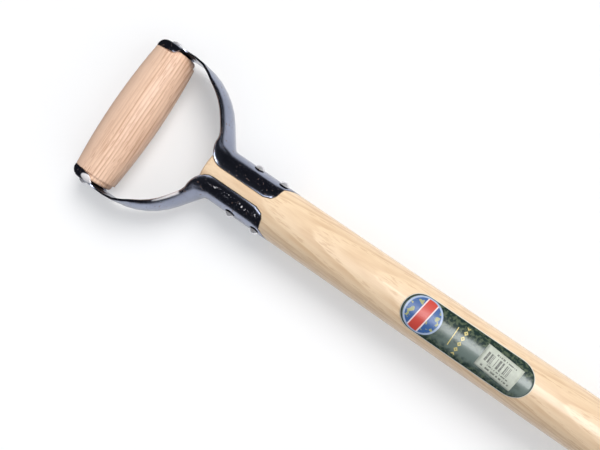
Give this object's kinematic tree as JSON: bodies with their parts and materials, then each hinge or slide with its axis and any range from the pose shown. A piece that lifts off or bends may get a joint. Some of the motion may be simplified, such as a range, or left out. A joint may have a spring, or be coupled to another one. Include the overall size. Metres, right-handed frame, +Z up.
{
  "type": "scoop shovel",
  "caption": "D-handled scoop shovel: round ash shaft and barrel grip, pressed-steel straps and a riveted sheet-steel scoop, lying on its back.",
  "frame": {"origin": "on the ground under the middle of the tool's bounding box, as it lies on its back", "axes": "+X runs from the grip towards the scoop's edge, +Y runs along the grip towards the right strap, +Z is up, out of the scoop's open side"},
  "size_m": [1.169, 0.2906, 0.1229],
  "materials": {
    "ash_shaft": "clear-varnished ash",
    "ash_grip": "thinly varnished ash with a darker grain",
    "strap_steel": "dark, glossy lacquered steel",
    "scoop_steel": "dark, satin lacquered steel",
    "rivet_steel": "bright riveted steel",
    "label_print": "glossy printed film, dark green",
    "sticker_paper": "thin grey paper"
  },
  "bodies": {
    "root": {"shaft": "ash_shaft", "grip": "ash_grip", "strap_right": "strap_steel", "strap_left": "strap_steel", "socket_front": "strap_steel", "socket_back": "strap_steel", "scoop_pan": "scoop_steel", "grip_rod": "rivet_steel", "strap_rivet_right_upper": "rivet_steel", "strap_rivet_right_lower": "rivet_steel", "strap_rivet_left_upper": "rivet_steel", "strap_rivet_left_lower": "rivet_steel", "leaf_rivet_upper": "rivet_steel", "leaf_rivet_lower": "rivet_steel", "pan_rivet_1": "rivet_steel", "pan_rivet_2": "rivet_steel", "pan_rivet_3": "rivet_steel", "pan_rivet_4": "rivet_steel", "pan_rivet_5": "rivet_steel", "pan_rivet_6": "rivet_steel", "label": "label_print", "price_sticker": "sticker_paper"}
  },
  "joints": []
}
